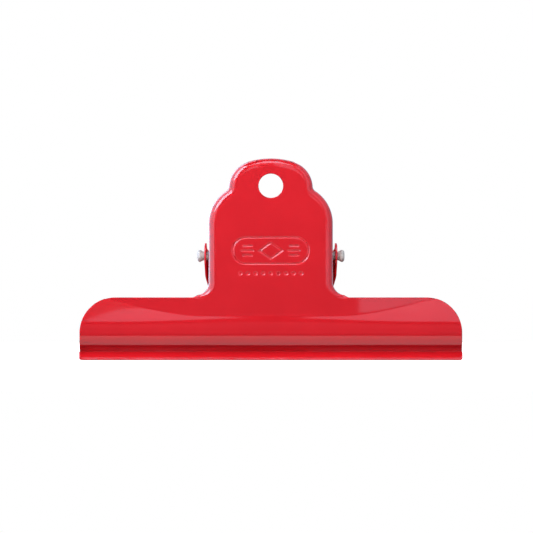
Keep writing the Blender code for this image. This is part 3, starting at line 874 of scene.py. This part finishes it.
def emitter(name, colour, level):
    material = bpy.data.materials.new(name)
    material.use_nodes = True
    tree = material.node_tree
    tree.nodes.clear()
    glow = tree.nodes.new("ShaderNodeEmission")
    glow.inputs["Color"].default_value = (*colour, 1.0)
    glow.inputs["Strength"].default_value = level
    output = tree.nodes.new("ShaderNodeOutputMaterial")
    tree.links.new(glow.outputs["Emission"], output.inputs["Surface"])
    return material


def add_panel(name, left, right, distance, colour, level, target):
    """A panel seen only as a reflection, between its left and right (azimuth, elevation) edge points."""
    points, faces = [], []
    for (left_azimuth, left_elevation), (right_azimuth, right_elevation) in zip(left, right):
        for i in range(PANEL_STEPS + 1):
            share = i / PANEL_STEPS
            azimuth = left_azimuth + (right_azimuth - left_azimuth) * share
            elevation = left_elevation + (right_elevation - left_elevation) * share
            points.append(tuple(towards(azimuth, elevation, distance, target)))
    for row in range(len(left) - 1):
        for i in range(PANEL_STEPS):
            corner = row * (PANEL_STEPS + 1) + i
            above = corner + PANEL_STEPS + 1
            faces.append((corner, corner + 1, above + 1, above))
    mesh = bpy.data.meshes.new(name)
    mesh.from_pydata(points, [], faces)
    mesh.materials.append(emitter(name, colour, level))
    panel = bpy.data.objects.new(name, mesh)
    bpy.context.scene.collection.objects.link(panel)
    hide_from(panel, ("camera", "diffuse", "transmission", "volume_scatter", "shadow"))


def add_strip(name, azimuths, elevations, distance, colour, level, target):
    """A panel between two azimuths and two elevations."""
    low, high = elevations
    heights = [low + (high - low) * k / PANEL_STEPS for k in range(PANEL_STEPS + 1)]
    left = [(azimuths[0], height) for height in heights]
    right = [(azimuths[1], height) for height in heights]
    add_panel(name, left, right, distance, colour, level, target)


def add_shell(name, radius, level, hidden):
    bpy.ops.mesh.primitive_uv_sphere_add(segments=48, ring_count=24, radius=radius)
    shell = bpy.context.object
    shell.name = name
    shell.data.materials.append(emitter(name, (1.0, 1.0, 1.0), level))
    hide_from(shell, hidden)


def make_floor():
    """A pale floor, a white backdrop that only the camera sees, and an even fill from all round."""
    place = (0.0, 0.0, FLOOR_Z)
    bpy.ops.mesh.primitive_circle_add(vertices=96, radius=FLOOR_RADIUS, fill_type="NGON", location=place)
    floor = bpy.context.object
    floor.name = "studio_floor"
    material, tree, shader = shader_material("pale_floor")
    shader.inputs["Base Color"].default_value = (0.93, 0.93, 0.93, 1.0)
    shader.inputs["Roughness"].default_value = 0.9
    shader.inputs["Emission Color"].default_value = (1.0, 1.0, 1.0, 1.0)
    shader.inputs["Emission Strength"].default_value = 0.8
    floor.data.materials.append(material)
    hide_from(floor, ("glossy", "diffuse", "shadow"))
    hidden = ("glossy", "transmission", "volume_scatter", "shadow")
    add_shell("studio_backdrop", 8.0, 1.0, ("diffuse", *hidden))
    add_shell("studio_fill", 3.0, FILL_LEVEL, ("camera", *hidden))


def make_studio():
    scene = bpy.context.scene
    target = Vector((0.0, 0.0, STUDIO_Z))
    world = bpy.data.worlds.new("studio")
    world.use_nodes = True
    background = world.node_tree.nodes["Background"]
    background.inputs["Color"].default_value = (*COOL, 1.0)
    background.inputs["Strength"].default_value = BEHIND_LEVEL
    scene.world = world
    make_floor()
    for light in LIGHTS:
        add_light(*light, target)
    add_flag("key_flag", 0.35, (0.066, 0.108), -0.2)
    for strip in STRIPS:
        add_strip(*strip, target)
    add_panel("left_panel", LEFT_PANEL_LEFT, LEFT_PANEL_RIGHT, NEAR, COOL, LEFT_PANEL_LEVEL, target)
    scene.view_settings.view_transform = "Standard"


def make_camera():
    data = bpy.data.cameras.new("camera")
    data.sensor_width = SENSOR
    data.lens = SENSOR * CAMERA_DISTANCE / VIEW_WIDTH
    camera = bpy.data.objects.new("camera", data)
    bpy.context.scene.collection.objects.link(camera)
    camera.location = (CAMERA_X, -CAMERA_DISTANCE, CAMERA_Z)
    camera.rotation_euler = (math.pi / 2, 0.0, 0.0)
    bpy.context.scene.camera = camera


make_camera()
enamel = enamel_material()
plated = metal_material("plated_steel", (0.46, 0.45, 0.43), (0.58, 0.565, 0.54), 0.46, 0.6, 0.12)
wire = metal_material("spring_wire", (0.55, 0.55, 0.54), (0.68, 0.68, 0.67), 0.22, 0.36, 1.0)

for name, side, body in (("front_plate", FRONT, "front"), ("rear_plate", REAR, "rear")):
    plate = make_plate(name + "_enamelled", side, enamel)
    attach(plate, body)
    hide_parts(name)

pin = make_pin(plated)
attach(pin, "front")
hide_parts("pivot_pin")

spring = make_spring(wire)
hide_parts("torsion_spring")
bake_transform(spring)

make_studio()
